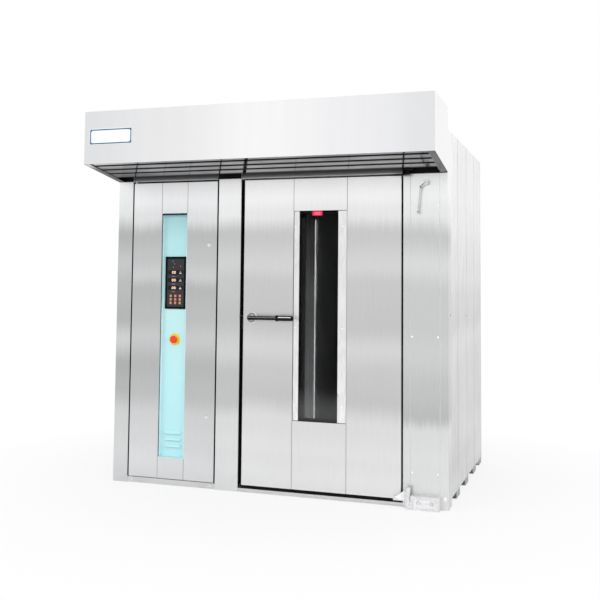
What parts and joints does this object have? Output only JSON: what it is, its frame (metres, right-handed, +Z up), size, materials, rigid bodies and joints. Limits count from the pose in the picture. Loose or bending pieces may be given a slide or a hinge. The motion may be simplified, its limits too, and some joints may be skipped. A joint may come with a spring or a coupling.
{
  "type": "rotating rack oven",
  "caption": "Bakery oven for one turning trolley: insulated casing, tall hinged door with a window, service door with a recessed control panel, sloping steam hood.",
  "frame": {"origin": "middle of the footprint on the floor, half way between the hood's front and the rear wall", "axes": "+X to the right as seen from the front, +Y backwards into the oven, +Z up; the doors face -Y"},
  "size_m": [2.14, 1.891, 2.423],
  "materials": {
    "casing_steel": "vertical brushed stainless sheet",
    "front_steel": "vertical brushed stainless sheet",
    "hood_steel": "bright satin stainless sheet",
    "grille_steel": "polished stainless sheet",
    "inner_steel": "satin stainless lining",
    "bright_metal": "polished",
    "hinge_paint": "satin light grey",
    "turquoise_panel": "satin",
    "black_plastic": "matte",
    "control_face": "satin film",
    "yellow_plastic": "gloss",
    "red_plastic": "gloss",
    "tinted_glass": "clear tinted",
    "seal_rubber": "matte silicone",
    "motor_paint": "hammered paint",
    "dark_steel": "dark",
    "electrics": "matte"
  },
  "bodies": {
    "casing": {"floor_deck": "casing_steel", "levelling_feet": "casing_steel", "left_wall": "casing_steel", "right_wall": "casing_steel", "back_wall": "casing_steel", "roof_panels": "casing_steel", "left_pillar": "front_steel", "centre_pillar": "front_steel", "right_pillar": "front_steel", "right_pillar_cover": "front_steel", "casing_screws": "bright_metal", "header_panels": "front_steel", "threshold": "inner_steel", "kick_plate": "front_steel", "mouth_frame": "inner_steel", "partition_wall": "inner_steel", "bulkhead": "casing_steel", "ceiling_plate": "inner_steel", "air_duct_panel": "inner_steel", "chamber_floor": "inner_steel", "exhaust_duct": "casing_steel", "heater_bank": "dark_steel", "steam_generator": "dark_steel", "electrics_plate": "electrics", "chamber_lamp": "inner_steel", "hood_shell": "hood_steel", "hood_grille": "grille_steel", "hood_outlet": "casing_steel", "rotation_gearmotor": "motor_paint", "shaft_bearing": "dark_steel", "fan_motor": "motor_paint", "hinge_block": "hinge_paint", "upper_hinge_plate": "dark_steel", "strike_plates": "bright_metal"},
    "oven_door": {"door_outer_shell": "front_steel", "door_core": "inner_steel", "door_panes": "tinted_glass", "window_trims": "hood_steel", "trim_screws": "bright_metal", "door_seal": "seal_rubber", "door_lower_hinge": "hinge_paint", "door_upper_hinge": "dark_steel", "handle_rosette": "bright_metal"},
    "door_handle": {"door_handle": "bright_metal", "handle_grip": "black_plastic"},
    "latch_bolt": {"latch_bolt": "bright_metal"},
    "service_door": {"service_door_shell": "front_steel", "recess_panel": "turquoise_panel", "control_housing": "black_plastic", "control_face": "control_face", "estop_collar": "yellow_plastic"},
    "estop_stem": {"estop_stem": "black_plastic"},
    "estop_head": {"estop_head": "red_plastic"},
    "upper_lock": {"upper_lock": "bright_metal"},
    "lower_lock": {"lower_lock": "bright_metal"},
    "rack_carrier": {"rotation_shaft": "bright_metal", "rack_carrier": "inner_steel"},
    "circulation_fan": {"circulation_fan": "inner_steel"},
    "hood_fan": {"hood_fan": "dark_steel"},
    "damper_lever": {"damper_lever": "bright_metal"}
  },
  "joints": [
    {"name": "oven_door_hinge", "type": "hinge", "parent": "casing", "child": "oven_door", "pos_m": [0.8455, -0.5665, 0], "axis": [0, 0, 1], "range_deg": [0, 110]},
    {"name": "handle_turn", "type": "hinge", "parent": "oven_door", "child": "door_handle", "pos_m": [-0.1285, -0.5675, 1.054], "axis": [0, 1, 0], "range_deg": [0, 75]},
    {"name": "latch_slide", "type": "slide", "parent": "oven_door", "child": "latch_bolt", "axis": [-1, 0, 0], "range_m": [0, 0.034]},
    {"name": "service_door_hinge", "type": "hinge", "parent": "casing", "child": "service_door", "pos_m": [-0.948, -0.5095, 0], "axis": [0, 0, -1], "range_deg": [0, 100]},
    {"name": "estop_push", "type": "slide", "parent": "service_door", "child": "estop_stem", "axis": [0, 1, 0], "range_m": [0, 0.005], "stiffness_N_per_m": 800},
    {"name": "estop_twist", "type": "hinge", "parent": "estop_stem", "child": "estop_head", "pos_m": [-0.666, -0.5075, 0.904], "axis": [0, 1, 0], "range_deg": [0, 45]},
    {"name": "upper_lock_turn", "type": "hinge", "parent": "service_door", "child": "upper_lock", "pos_m": [-0.424, -0.5215, 1.5], "axis": [0, 1, 0], "range_deg": [0, 90]},
    {"name": "lower_lock_turn", "type": "hinge", "parent": "service_door", "child": "lower_lock", "pos_m": [-0.424, -0.5215, 0.432], "axis": [0, 1, 0], "range_deg": [0, 90]},
    {"name": "rack_rotation", "type": "hinge", "parent": "casing", "child": "rack_carrier", "pos_m": [0.3525, 0.23715, 2.18], "axis": [0, 0, 1], "continuous": true},
    {"name": "circulation_fan_spin", "type": "hinge", "parent": "casing", "child": "circulation_fan", "pos_m": [-0.62, 0.402, 2], "axis": [0, 0, 1], "continuous": true},
    {"name": "hood_fan_spin", "type": "hinge", "parent": "casing", "child": "hood_fan", "pos_m": [-0.37, -0.6665, 2.22], "axis": [0, 0, 1], "continuous": true},
    {"name": "damper_turn", "type": "hinge", "parent": "casing", "child": "damper_lever", "pos_m": [0.948, -0.5215, 1.853], "axis": [0, 1, 0], "range_deg": [-55, 0]}
  ],
  "couplings": [
    {"joint": "latch_slide", "follows": "handle_turn", "m_per_rad": 0.02597}
  ]
}
